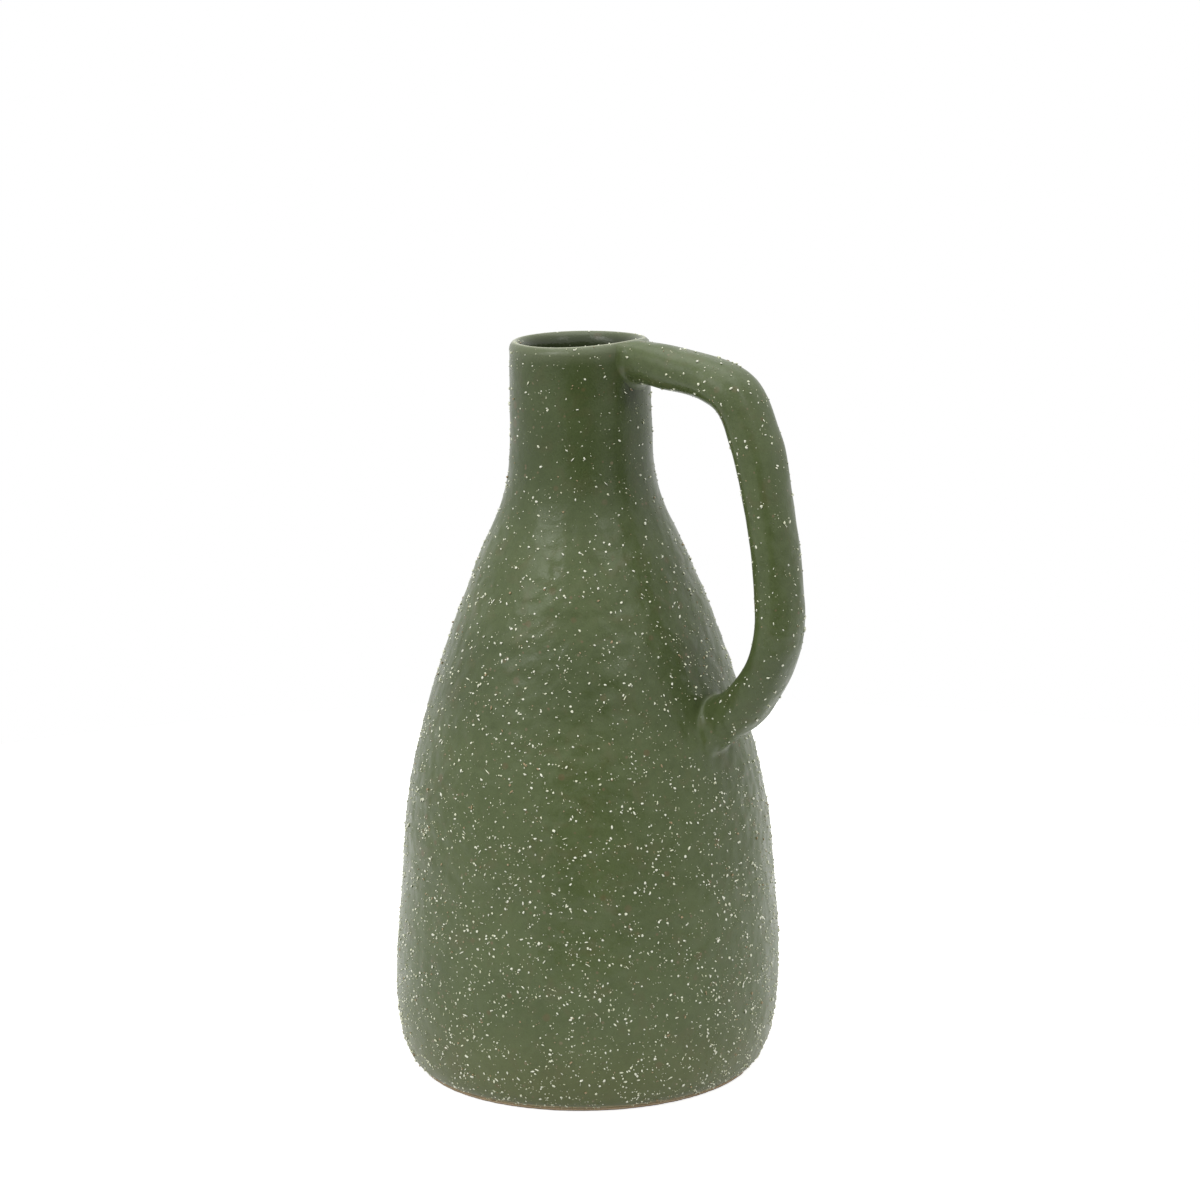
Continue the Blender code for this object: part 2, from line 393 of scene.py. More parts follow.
def wall_point(angle, below):
    """A point of the wall at an angle round the axis and a distance below the lip's crest.

    The section is turned about the axis. It swells and sinks a little along its own
    normal, has faint turning rings and finer unevenness of the glaze, and drifts sideways
    with height. Its rim lies higher by the handle and lower away from it.
    """
    angle, below = np.broadcast_arrays(np.asarray(angle, float), np.asarray(below, float))
    along, line = SECTION_ALONG[::-1], SECTION[::-1]
    radius = np.interp(below, along, line[:, 0])
    height = np.interp(below, along, line[:, 1])
    reach = 0.0004
    step_r, step_z = (
        np.interp(below - reach, along, values) - np.interp(below + reach, along, values)
        for values in line.T
    )
    size = np.hypot(step_r, step_z) + 1e-12
    plain = turned(radius, angle, height)
    outer = smooth_step(-0.001, 0.006, below) * smooth_step(0.0002, 0.008, height)
    inner = 0.5 * smooth_step(0.004, 0.012, -below) * smooth_step(0.0, 0.03, radius)
    swell = 0.00010 * ripple(plain, 3, 0.062) + 0.00007 * ripple(plain, 4, 0.021)
    lumpy = smooth_step(0.05, 0.10, height) * (1 - smooth_step(0.160, 0.200, height))
    swell += (0.000020 + 0.000026 * lumpy) * ripple(plain, 5, 0.0075)
    rings = ripple(plain * (0.30, 0.30, 1.0), 6, 0.0062) * (0.000012 + 0.000055 * lumpy)
    lift = (swell + rings) * (outer + inner)
    change = np.interp(height, UNTRUE_HEIGHTS, UNTRUE_CHANGE)
    lift = lift + change * smooth_step(-0.012, 0.004, below)
    drift = np.interp(height, UNTRUE_HEIGHTS, UNTRUE_DRIFT)
    radius = radius + lift * step_z / size
    height = height - lift * step_r / size
    return turned(radius, angle, height + rim_level(angle, below), drift)


def wall_rows():
    """Distances of the rows: 1.3 mm apart outside, closer round lip and foot, wider inside."""
    foot, bottom = SECTION_ALONG[1], SECTION_ALONG[ROLL_TOP]
    ends = (foot, bottom, bottom - 0.0024, 0.010, 0.0042, -0.0012, -0.010, SECTION_ALONG[-2])
    spans = zip(ends[:-1], ends[1:], (5, 9, 190, 8, 26, 15, 70))
    return np.concatenate([[foot]] + [np.linspace(*span)[1:] for span in spans])


def make_wall(material):
    """The wall as a skin of the section's points. Its marks tell how thin the glaze has run,
    with a painted highlight at the lip's crest and painted light from the floor at its lower
    edge, which points lie inside and how deep, for painted shade in the bore, and where
    painted shade lies under the handle's upper root."""
    angles = np.linspace(0.0, math.tau, WALL_COLUMNS, endpoint=False)
    rows = wall_rows()
    grid = wall_point(angles[None, :], rows[:, None])
    first = (0.0, 0.0, float(grid[0, :, 2].mean()))
    last = (0.0, 0.0, FLOOR_THICKNESS)
    wall = skin("glazed_wall", grid, first, last, material)
    # Thin glaze with a painted highlight along the lip's crest, wider where the lip was brushed
    brushed = 1.0 + 1.3 * bell(np.degrees(angles), 216.0, 16.0)
    crest = bell(rows[:, None], 0.0001, 0.00045 * brushed)
    # Thin glaze at its lower edge, with painted light from the floor
    foot = bell(rows, SECTION_ALONG[ROLL_TOP] - 0.0003, 0.00048)
    # Painted shade on the neck under the handle's upper root
    root_shade = bell(np.linalg.norm(grid - turned(*ROOT_SHADE_PLACE), axis=-1), 0.0, 0.0042)
    for label, values, at_floor in (
        ("thin_glaze_and_highlight_at_crest", crest, 0.0),
        ("thin_glaze_and_floor_light_at_foot", foot[:, None], 0.0),
        # Inside and deep inside: painted shade down the bore, near black in its depth; inside also
        # makes the glaze glossier there
        ("inside", smooth_step(0.0004, -0.0040, rows)[:, None], 1.0),
        ("painted_shade_deep_inside", smooth_step(-0.0064, -0.0080, rows)[:, None], 1.0),
        ("painted_shade_under_root", root_shade, 0.0),
    ):
        values = np.broadcast_to(values, grid.shape[:2])
        mark_points(wall, label, np.append(values, (0.0, at_floor)))
    return wall, grid, rows


def make_base(material):
    """The bare clay under the wall: a flat underside and an oval edge that stands almost as
    far out as the glaze above it, as (radius, height) turned about the axis."""
    reach = SECTION[ROLL_TOP, 0] - BARE_EDGE_INSET - BARE_EDGE[0]
    edge = oval_arc((reach, BARE_EDGE_HEIGHT), *BARE_EDGE, -110, 90, 20)
    flat = np.column_stack((np.linspace(0.002, edge[0, 0] - 0.0006, 30), np.zeros(30)))
    top = edge[-1, 1]
    inner = np.array(((edge[-1, 0] - 0.0004, top), (0.002, top)))
    line = np.concatenate((flat, edge, inner))
    angles = np.linspace(0.0, math.tau, BASE_COLUMNS, endpoint=False)
    radius, height = line[:, :1], line[:, 1:]
    uneven = 0.00006 * ripple(turned(radius, angles, 0.0), 11, 0.004)
    radius = radius + uneven * smooth_step(0.045, reach, radius)
    grid = turned(radius, angles, height, np.interp(0.0, UNTRUE_HEIGHTS, UNTRUE_DRIFT))
    return skin("bare_base", grid, (0.0, 0.0, 0.0), (0.0, 0.0, top), material)


# ------------ the handle


def handle_line():
    """The handle's middle line in the XZ plane: even curves through its bends, whose
    directions weigh the near neighbour more, then eased along their length."""
    outer = outside_line()
    lower = HEIGHT - LOWER_ROOT_BELOW_RIM
    end_radius = np.interp(lower, outer[:, 1], outer[:, 0]) - WALL
    points = [(NECK_RADIUS - WALL / 2, HEIGHT - UPPER_ROOT_BELOW_RIM)]
    points += [(NECK_RADIUS + out, HEIGHT - down) for out, down in HANDLE_BENDS]
    points = np.array(points + [(end_radius, lower)])
    spans = np.diff(points, axis=0)
    sizes = np.linalg.norm(spans, axis=1)
    ways = spans / sizes[:, None]
    share = (sizes[:-1] / (sizes[:-1] + sizes[1:]))[:, None]
    inner = unit(ways[:-1] * (1 - share) + ways[1:] * share)
    directions = np.concatenate((ways[:1], inner, ways[-1:]))
    pieces = [
        even_curve(points[i], directions[i], directions[i + 1], points[i + 1], 40)[:-1]
        for i in range(len(points) - 1)
    ]
    line = np.concatenate(pieces + [points[-1:]])
    along = lengths_along(line)
    even = at_lengths(line, along, np.linspace(0.0, along[-1], 700))
    weights = bell(np.linspace(-2.5, 2.5, 33), 0.0, 1.0)
    weights /= weights.sum()
    ends = np.linspace(1, 16, 16)[:, None]
    before = (even[0] - (even[1] - even[0]) * ends)[::-1]
    beyond = even[-1] + (even[-1] - even[-2]) * ends
    padded = np.concatenate((before, even, beyond))
    return np.stack([np.convolve(values, weights, "valid") for values in padded.T], axis=-1)


def strap_point(line, along, where, turns):
    """Points of the strap at distances along the middle line (rows, columns): the middle
    plus depth * cos in the plane and width * sin across, both drawn out a little towards a
    rounded oblong, more so at the bend, where the front is pushed out into a low swelling.
    Towards both roots the strap gets narrower and is skewed: z + y * skew, one way above
    and the other way below. It is thicker where it lands on the body."""
    middle = at_lengths(line, along, where)
    way = unit(at_lengths(line, along, where + 2e-4) - at_lengths(line, along, where - 2e-4))
    at_top = smooth_step(0.020, 0.003, where)
    left = along[-1] - where
    near_foot, at_foot = smooth_step(0.030, 0.006, left), smooth_step(0.024, 0.004, left)
    at_bend = smooth_step(0.020, 0.038, where) * smooth_step(0.078, 0.056, where)
    cosine, sine = np.cos(turns), np.sin(turns)
    power = 2 / (2.25 + 0.30 * at_bend)
    fuller = 0.15 * near_foot + (0.03 * at_top - 0.04 * at_foot) * cosine
    depth = HANDLE_DEPTH / 2 * (1 + fuller)
    width = HANDLE_WIDTH / 2 * (1 - 0.09 * at_top - 0.08 * at_foot)
    swelling = 1 + SWELLING * bell(where, *SWELLING_PLACE) * bell(np.degrees(turns), *SWELLING_TURN)
    across = bent(cosine, power) * depth * swelling
    y = -bent(sine, power) * width * swelling
    x = middle[..., 0] - way[..., 1] * across
    z = middle[..., 1] + way[..., 0] * across + y * (0.20 * at_foot - 0.16 * at_top)
    return np.stack((x, y, z), axis=-1)


def wall_meeting(line, along, turns, distances):
    """Where each line along the strap leaves the wall, going along the given distances from
    inside the wall to outside it: its distance along the handle, and its angle round the
    axis and distance below the crest on the wall."""
    points = strap_point(line, along, distances[:, None] * np.ones_like(turns), turns)
    outside = slice(5, CREST + 1)
    radii, heights = SECTION[outside].T
    angle = np.arctan2(points[..., 1], points[..., 0])
    level = points[..., 2] - rim_level(angle, np.maximum(HEIGHT - points[..., 2], 0.0))
    clear = np.hypot(points[..., 0], points[..., 1]) - np.interp(level, heights, radii)
    last = len(distances) - 1 - np.argmax((clear < 0)[::-1], axis=0)
    columns = np.arange(len(turns))
    step = clear[last, columns] / (clear[last, columns] - clear[last + 1, columns])
    place = distances[last] + (distances[last + 1] - distances[last]) * step
    angle = angle[last, columns]
    below = np.interp(level[last, columns], heights, SECTION_ALONG[outside])
    return place, angle, below


def wall_normal(angle, below):
    """Unit vectors square to the wall, from two short steps along it."""
    step = 0.0002
    sideways = wall_point(angle + 0.004, below) - wall_point(angle - 0.004, below)
    downwards = wall_point(angle, below + step) - wall_point(angle, below - step)
    return unit(np.cross(downwards, sideways))


def root_rows(line, along, turns, distances, reaches, highest, steps):
    """Rows that lead the strap onto the wall. Each column starts on the wall, out from where
    its line meets the wall, and ends on the strap; a cubic Bezier curve that leaves along
    the wall and arrives along the strap joins the two, in the given number of steps. The
    clay stays below the highest place, a distance from the lip's crest. Five rows run on
    just under the wall and close the shape."""
    place, angle, below = wall_meeting(line, along, turns, distances)
    out_wall, out_strap = (round_about(turns, reach) for reach in reaches)
    radius = np.interp(below, SECTION_ALONG[::-1], SECTION[::-1, 0])
    across = angle * radius
    middle, half = (below.max() + below.min()) / 2, (below.max() - below.min()) / 2
    way = unit(np.stack((across / across.max() ** 2, (below - middle) / half**2), axis=-1))
    most = np.where(way[:, 1] < -1e-3, (below - highest) / np.maximum(-way[:, 1], 1e-3), 1.0)
    out_wall = np.clip(out_wall, 0.0001, most)

    def on_wall(distance, depth=0.0):
        """Points at a distance out from the meeting line, and at a depth under the wall."""
        place = (angle + way[:, 0] * distance / radius, below + way[:, 1] * distance)
        return wall_point(*place) - wall_normal(*place) * depth

    start = on_wall(out_wall)
    start_way = unit(on_wall(out_wall - 0.00005) - start)
    corner = on_wall(0.0)
    sense = np.sign(distances[1] - distances[0])
    ends = place + sense * out_strap
    end = strap_point(line, along, ends[None], turns)[0]
    end_way = unit(strap_point(line, along, (ends + sense * 1e-4)[None], turns)[0] - end)
    first = start + start_way * np.linalg.norm(corner - start, axis=-1, keepdims=True) * 0.66
    second = end - end_way * np.linalg.norm(corner - end, axis=-1, keepdims=True) * 0.66
    rows = bezier(np.linspace(0.0, 1.0, steps)[:, None, None], start, first, second, end)
    under = [
        on_wall(out_wall * 0.4, 0.0022),
        on_wall(out_wall + 0.0004, 0.0010),
        on_wall(out_wall + 0.0011, 0.00030),
        on_wall(out_wall + 0.0009, 0.00009),
        on_wall(out_wall + 0.0004, 0.00002),
    ]
    pole = wall_point(0.0, middle) - wall_normal(0.0, middle) * 0.0026
    return np.concatenate((np.array(under), rows)), ends, pole


def make_handle(material):
    """Two roots worked onto the wall and the oval strap between them."""
    line = handle_line()
    along = lengths_along(line)
    inner = line[0] - unit(line[1] - line[0]) * 0.006
    line, along = np.concatenate(([inner], line)), np.concatenate(([-0.006], along))
    turns = np.linspace(0.0, math.tau, HANDLE_COLUMNS, endpoint=False)
    at_top = np.arange(-0.0055, 0.009, 0.00005)
    at_foot = along[-1] - np.arange(0.0, 0.022, 0.00005)
    top, top_ends, top_pole = root_rows(line, along, turns, at_top, UPPER_ROOT, 0.0006, 14)
    foot, foot_ends, foot_pole = root_rows(line, along, turns, at_foot, LOWER_ROOT, 0.0, 18)
    first, last = top_ends.max() + 0.004, foot_ends.min() - 0.004
    share = np.linspace(0.0, 1.0, 7)[1:, None]
    near_top = strap_point(line, along, top_ends + (first - top_ends) * share, turns)
    near_foot = strap_point(line, along, last + (foot_ends - last) * share[:-1], turns)
    middle = np.linspace(first, last, 170)[1:, None] * np.ones_like(turns)
    strap = strap_point(line, along, middle, turns)
    grid = np.concatenate((top, near_top, strap, near_foot, foot[::-1]))
    out = unit(grid - grid.mean(axis=1, keepdims=True))
    swell = 0.00017 * ripple(grid, 21, 0.030) + 0.00006 * ripple(grid, 22, 0.012)
    rows = np.arange(len(grid))[:, None]
    ease = smooth_step(len(top) - 4, len(top) + 14, rows)
    ease = ease * smooth_step(len(foot) - 4, len(foot) + 14, len(grid) - 1 - rows)
    grid = grid + out * (swell * ease)[..., None]
    return skin("pulled_handle", grid, top_pole, foot_pole, material), grid[5:-5]


# ------------ grit


def grain_shape():
    """A ball of 12 points and 20 faces: two poles and two turned rings of five."""
    flat, tall = 2 / math.sqrt(5), 1 / math.sqrt(5)
    turns = math.tau * np.arange(5) / 5
    upper, lower = turned(flat, turns, tall), turned(flat, turns + math.pi / 5, -tall)
    points = np.concatenate(([[0, 0, 1.0]], upper, lower, [[0, 0, -1.0]]))
    faces = []
    for i in range(5):
        j = (i + 1) % 5
        faces += [(0, 1 + i, 1 + j), (1 + i, 6 + i, 1 + j)]
        faces += [(1 + j, 6 + i, 6 + j), (11, 6 + j, 6 + i)]
    return points, np.array(faces)


def scatter(grid, share, count, rng):
    """Random places on a grid of points, each face as likely as its area times its share:
    the points, the normals and a direction along the surface."""
    a, b = grid[:-1], np.roll(grid, -1, axis=1)[:-1]
    d, c = grid[1:], np.roll(grid, -1, axis=1)[1:]
    normals = np.cross(c - a, d - b) / 2
    areas = np.linalg.norm(normals, axis=-1)
    chance = np.cumsum((areas * share).ravel())
    picked = np.searchsorted(chance, rng.random(count) * chance[-1])
    s, t = rng.random((2, count, 1))
    a, b, c, d = (corner.reshape(-1, 3)[picked] for corner in (a, b, c, d))
    points = a * (1 - s) * (1 - t) + b * s * (1 - t) + c * s * t + d * (1 - s) * t
    up = unit(normals.reshape(-1, 3)[picked])
    side = unit(np.cross(up, unit(rng.normal(size=(count, 3)))))
    return points, up, side


def make_grit(name, places, grains, material, rng):
    """One small uneven ball for each grain, stretched at random and half sunk in the glaze.
    Two values go with each point: how far out of the glaze it is, made lower on the grain's
    lower side for painted shadow there, and the grain's own tone, which is paler for
    the larger grains; a few grains are tan instead."""
    points, up, side = places
    count = len(points)
    sizes, rank = grains
    shape, faces = grain_shape()
    ways = np.stack((side, np.cross(up, side), up), axis=1)
    uneven = shape * rng.uniform(0.72, 1.28, (count, len(shape), 1))
    stretch = np.exp(rng.normal(0.0, 0.30, count)) * np.where(rng.random(count) < 0.05, 1.6, 1.0)
    scale = np.stack((stretch, 1 / stretch, rng.uniform(0.65, 1.15, count)), axis=-1)
    lift = up * rng.uniform(-0.05, 0.45, (count, 1))
    half = sizes[:, None] / 2
    middle = points + half * lift
    placed = middle[:, None] + (uneven * (half * scale)[:, None]) @ ways
    numbers = faces[None] + (np.arange(count) * len(shape))[:, None, None]
    piece = new_piece(name, placed.reshape(-1, 3), numbers.reshape(-1, 3).tolist(), material)
    # Each grain's level drops on its lower side, where the painted shadow goes
    upward = ways[:, :2, 2] @ shape[:, :2].T
    level = np.clip(0.5 + shape[:, 2] * 0.75 + upward * 0.40, 0.0, 1.0)
    tone = np.clip(0.56 * rank + 0.56 * rng.random(count), 0.0, 0.90)
    tone = np.repeat(np.where(rng.random(count) < TAN_SHARE, 1.0, tone), len(shape))
    mark_points(piece, "grain_level_and_shadow", level)
    mark_points(piece, "grain_tone", tone)
    return piece


def grain_sizes(count, low, high, rng):
    """Many small grains and few large ones: low * (high / low) ^ (rank ^ 2.1), and the
    ranks themselves, which are random between 0 and 1."""
    rank = rng.random(count)
    return low * (high / low) ** (rank**2.1), rank


def make_all_grit(wall_grid, rows, handle_grid, material):
    """Grit on the outside of the wall, in pieces one above the other, and on the handle. It
    lies in clumps, gets thinner with height and leaves the handle's two roots clear."""
    rng = np.random.default_rng(25)
    outside = wall_grid[rows >= -0.004]
    centres = (outside[:-1] + outside[1:]) / 2
    height = centres[..., 2]
    angle = np.abs(np.arctan2(centres[..., 1], centres[..., 0]))
    clumps = 1.0 + 0.42 * ripple(centres, 31, 0.008) + 0.20 * ripple(centres, 32, 0.028)
    crowd = np.interp(height, CROWD_HEIGHTS, CROWD)
    clear_up = (angle < 0.47) & (height > 0.236)
    clear_low = (angle < 0.24) & (np.abs(height - 0.122) < 0.011)
    share = np.maximum(clumps, 0.15) * crowd * np.where(clear_up | clear_low, 0.0, 1.0)
    pieces = []
    for name, low, high, count in WALL_GRAINS:
        here = share * ((height > low) & (height <= high))
        places = scatter(outside, here, count, rng)
        grains = grain_sizes(count, *WALL_GRAIN_SIZES, rng)
        pieces.append(make_grit(name, places, grains, material, rng))
    strap = handle_grid[12:-14]
    clumps = 1.0 + 0.6 * ripple((strap[:-1] + strap[1:]) / 2, 33, 0.010)
    places = scatter(strap, np.maximum(clumps, 0.1), HANDLE_GRAINS, rng)
    grains = grain_sizes(HANDLE_GRAINS, *HANDLE_GRAIN_SIZES, rng)
    return [make_grit("handle_grit", places, grains, material, rng), *pieces]


# ------------ node helpers


def colour(red, green, blue):
    return (red, green, blue, 1.0)


class Nodes:
    """Short ways to add nodes to a material or a group and to join them up."""

    def __init__(self, tree):
        self.tree = tree

    def add(self, kind, inputs=(), **settings):
        """Adds a node with its settings, and joins its inputs, given as (socket, value)."""
        node = self.tree.nodes.new(kind)
        for key, value in settings.items():
            setattr(node, key, value)
        for socket, value in inputs:
            self.join(value, node, socket)
        return node

    def join(self, source, node, socket):
        """Links an output to an input, or sets the input to a plain value."""
        target = node.inputs[socket]
        if isinstance(source, bpy.types.NodeSocket):
            self.tree.links.new(source, target)
        else:
            target.default_value = source

    def feed(self, node, **inputs):
        """Joins several inputs of a node, given by name with _ for a space."""
        for name, value in inputs.items():
            self.join(value, node, name.replace("_", " "))
        return node

    def math(self, kind, *values, clamp=False):
        inputs = enumerate(values)
        return self.add("ShaderNodeMath", inputs, operation=kind, use_clamp=clamp).outputs[0]

    def vector_math(self, kind, *values):
        return self.add("ShaderNodeVectorMath", enumerate(values), operation=kind).outputs

    def noise(self, vector, scale, detail=3.0, roughness=0.5, distortion=0.0):
        sockets = ("Vector", "Scale", "Detail", "Roughness", "Distortion")
        inputs = zip(sockets, (vector, scale, detail, roughness, distortion))
        return self.add("ShaderNodeTexNoise", inputs).outputs["Fac"]

    def shaken(self, place, scale, distance):
        """The place, moved by up to a distance by a noise of the given scale."""
        jitter = self.add("ShaderNodeTexNoise", (("Vector", place), ("Scale", scale)))
        shares = (distance, distance, distance)
        return self.vector_math("MULTIPLY_ADD", jitter.outputs["Color"], shares, place)[0]

    def spread(self, value, low, high, to_low=0.0, to_high=1.0, smooth=True):
        """The value led from one range onto another and held at its ends."""
        sockets = ("Value", "From Min", "From Max", "To Min", "To Max")
        inputs = zip(sockets, (value, low, high, to_low, to_high))
        kind = "SMOOTHSTEP" if smooth else "LINEAR"
        node = self.add("ShaderNodeMapRange", inputs, interpolation_type=kind, clamp=True)
        return node.outputs[0]

    def band(self, value, rise, fall):
        """1 between two soft edges, each given as the values where it starts and ends."""
        return self.math("MULTIPLY", self.spread(value, *rise), self.spread(value, *fall, 1.0, 0.0))

    def total(self, first, *others):
        """The sum of values, each given with the share it is multiplied by."""
        result = self.math("MULTIPLY", *first)
        for value, share in others:
            result = self.math("ADD", result, self.math("MULTIPLY", value, share))
        return result

    def mix(self, share, first, second):
        inputs = ((0, share), (6, first), (7, second))
        return self.add("ShaderNodeMix", inputs, data_type="RGBA").outputs[2]

    def lay(self, tint, *layers):
        """A tint with colours laid over it in turn, each in a mask and by a share."""
        for mask, share, over in layers:
            tint = self.mix(self.math("MULTIPLY", mask, share), tint, over)
        return tint

    def height(self, place):
        return self.add("ShaderNodeSeparateXYZ", ((0, place),)).outputs["Z"]

    def mark(self, label):
        """The number that mark_points kept with each point."""
        return self.add("ShaderNodeAttribute", attribute_name=label).outputs["Fac"]

    def bump(self, height, strength, distance):
        node = self.add("ShaderNodeBump")
        return self.feed(node, Strength=strength, Distance=distance, Height=height).outputs[0]

    def group(self, tree, **inputs):
        return self.feed(self.add("ShaderNodeGroup", node_tree=tree), **inputs).outputs


def new_group(name, inputs, outputs):
    """A shader node group with named sockets, its helper and its two ends."""
    tree = bpy.data.node_groups.new(name, "ShaderNodeTree")
    for label, kind, default in inputs:
        socket = tree.interface.new_socket(label, in_out="INPUT", socket_type="NodeSocket" + kind)
        if default is not None:
            socket.default_value = default
    for label, kind in outputs:
        tree.interface.new_socket(label, in_out="OUTPUT", socket_type="NodeSocket" + kind)
    nodes = Nodes(tree)
    start, end = nodes.add("NodeGroupInput"), nodes.add("NodeGroupOutput")
    return tree, nodes, start.outputs, end


# ------------ glaze and clay


def glaze_group():
    """Green glaze: cloudy over 10 to 30 mm, mottled over 1 to 3 mm, finely grained."""
    tree, nodes, given, end = new_group(
        "green glaze",
        (
            ("Vector", "Vector", None),
            ("Deep", "Color", colour(0.076, 0.103, 0.033)),
            ("Pale", "Color", colour(0.104, 0.136, 0.050)),
            ("Warm", "Color", colour(0.108, 0.113, 0.044)),
        ),
        (("Color", "Color"), ("Gloss", "Float"), ("Height", "Float"), ("Lumps", "Float")),
    )
    place = given["Vector"]
    clouds = nodes.noise(place, 55.0, 3.0, 0.55, 0.6)
    mottle = nodes.noise(place, 420.0, 3.0, 0.6)
    grain = nodes.noise(place, 2600.0, 2.0, 0.6)
    warm = nodes.noise(place, 130.0, 2.0, 0.5, 1.0)
    depth = nodes.total((clouds, 0.38), (mottle, 0.30), (grain, 0.32))
    shade = nodes.spread(depth, 0.36, 0.64)
    tint = nodes.mix(shade, given["Deep"], given["Pale"])
    tint = nodes.mix(nodes.spread(warm, 0.52, 0.74, 0.0, 0.50), tint, given["Warm"])
    gloss = nodes.spread(nodes.noise(place, 95.0, 3.0, 0.6), 0.3, 0.7)
    soft, fine = nodes.noise(place, 330.0, 2.0), nodes.noise(place, 1500.0, 2.0)
    height = nodes.total((soft, 0.7), (fine, 0.3))
    lumps = nodes.noise(place, 230.0, 0.6, 0.4)
    nodes.feed(end, Color=tint, Gloss=gloss, Height=height, Lumps=lumps)
    return tree


def flecks_group():
    """Fine grit under the glaze: in some cells of a Voronoi pattern, a ball about the
    cell's point, whose size and tone come from the cell's own random colour."""
    tree, nodes, given, end = new_group(
        "flecks",
        (
            ("Vector", "Vector", None),
            ("Cells per metre", "Float", 900.0),
            ("Share", "Float", 0.3),
            ("Radius", "Float", 0.2),
        ),
        (("Mask", "Float"), ("Tone", "Float")),
    )
    inputs = (("Vector", given["Vector"]), ("Scale", given["Cells per metre"]))
    cells = nodes.add("ShaderNodeTexVoronoi", inputs).outputs
    red, green, blue = nodes.add("ShaderNodeSeparateColor", ((0, cells["Color"]),)).outputs[:3]
    chosen = nodes.math("LESS_THAN", red, given["Share"])
    size = nodes.spread(green, 0.0, 1.0, 0.5, 1.4, smooth=False)
    radius = nodes.math("MULTIPLY", given["Radius"], size)
    ratio = nodes.math("DIVIDE", cells["Distance"], radius)
    round_mask = nodes.spread(ratio, 0.65, 1.0, 1.0, 0.0)
    nodes.feed(end, Mask=nodes.math("MULTIPLY", round_mask, chosen), Tone=blue)
    return tree


def object_place(nodes):
    return nodes.add("ShaderNodeTexCoord").outputs["Object"]


def new_material(name):
    material = bpy.data.materials.new(name)
    material.use_nodes = True
    shader = material.node_tree.nodes["Principled BSDF"]
    return material, Nodes(material.node_tree), shader


def glaze_material(name, glaze, flecks, neck_shade_and_lip_light_share):
    """Satin green glaze with fine cream and tan flecks that get thicker towards the foot. By
    the given share it has painted shade on the neck and painted light on the lip's band. It
    is thin and pale at the lip's crest, with a painted highlight, and at its lower edge,
    with painted light from the floor, and it has painted shade under the handle's upper
    root and down the bore."""
    material, nodes, shader = new_material(name)
    place = object_place(nodes)
    z = nodes.height(place)
    surface = nodes.group(glaze, Vector=place)
    crowd = nodes.spread(z, 0.0, 0.23, 1.0, 0.45, smooth=False)
    patches = nodes.spread(nodes.noise(place, 160.0, 2.0, 0.5), 0.35, 0.65, 0.45, 1.5)
    crowd = nodes.math("MULTIPLY", crowd, patches)
    rough_place = nodes.shaken(place, 2100.0, 0.00040)
    cream, tan, blot = (
        nodes.group(flecks, Vector=rough_place, Cells_per_metre=cells, Share=share, Radius=radius)
        for cells, share, radius in (
            (900.0, nodes.math("MULTIPLY", crowd, 0.30), 0.19),
            (520.0, nodes.math("MULTIPLY", crowd, 0.16), 0.26),
            (150.0, 0.22, 0.20),
        )
    )
    cream_tone = nodes.mix(cream["Tone"], colour(0.25, 0.27, 0.15), colour(0.62, 0.60, 0.42))
    tan_tone = nodes.mix(tan["Tone"], colour(0.19, 0.125, 0.065), colour(0.24, 0.20, 0.12))
    blot_tone = nodes.mix(blot["Tone"], colour(0.150, 0.085, 0.035), colour(0.140, 0.125, 0.060))
    # Heights of painted shade on the neck, painted light on the lip's band, a band of painted shade
    # below the shoulder and painted light from the floor towards the foot
    neck, lip = nodes.spread(z, 0.178, 0.208), nodes.spread(z, 0.2430, 0.2475)
    shade_belt, low = nodes.band(z, (0.120, 0.136), (0.150, 0.162)), nodes.spread(z, 0.0, 0.040, 1.0, 0.0)
    ragged = nodes.spread(nodes.noise(place, 900.0, 3.0, 0.6), 0.30, 0.60, 0.50, 1.0)
    inside = nodes.mark("inside")
    tint = nodes.lay(
        surface["Color"],
        # Painted shade on the neck
        (neck, neck_shade_and_lip_light_share, colour(0.030, 0.048, 0.010)),
        # Painted light on the lip's band, which faces up
        (lip, neck_shade_and_lip_light_share, colour(0.225, 0.250, 0.155)),
        # A band of painted shade round the body below the shoulder's highlights
        (shade_belt, 0.20, colour(0.030, 0.045, 0.014)),
        # Paler and warmer towards the foot: painted light from the floor
        (low, 0.35, colour(0.150, 0.150, 0.050)),
        (blot["Mask"], 0.42, blot_tone),
        # Thin glaze and a painted highlight at the lip's crest
        (nodes.mark("thin_glaze_and_highlight_at_crest"), ragged, colour(0.45, 0.47, 0.33)),
        # Thin glaze at the lower edge, brightened as painted light from the floor
        (nodes.mark("thin_glaze_and_floor_light_at_foot"), ragged, colour(0.90, 0.73, 0.49)),
        # Painted shade under the handle's upper root
        (nodes.mark("painted_shade_under_root"), 0.60, colour(0.022, 0.030, 0.010)),
        # Painted shade down the bore
        (inside, 0.72, colour(0.026, 0.036, 0.014)),
        # Painted shade deep in the bore, near black
        (nodes.mark("painted_shade_deep_inside"), 0.90, colour(0.004, 0.006, 0.003)),
        (tan["Mask"], 0.6, tan_tone),
        (cream["Mask"], 0.9, cream_tone),
    )
    rough = nodes.spread(surface["Gloss"], 0.0, 1.0, 0.27, 0.37, smooth=False)
    rough = nodes.math("MULTIPLY_ADD", inside, -0.10, rough)
    below_neck = nodes.spread(z, 0.180, 0.205, 1.0, 0.3)
    lumpy = nodes.math("MULTIPLY", nodes.spread(z, 0.03, 0.11, 0.8, 1.7), below_neck)
    height = nodes.total((surface["Height"], 0.6), (cream["Mask"], 0.5))
    height = nodes.math("MULTIPLY_ADD", surface["Lumps"], lumpy, height)
    bump = nodes.bump(height, 0.8, 0.00040)
    nodes.feed(shader, Base_Color=tint, Roughness=rough, Specular_IOR_Level=0.38, Normal=bump)
    return material


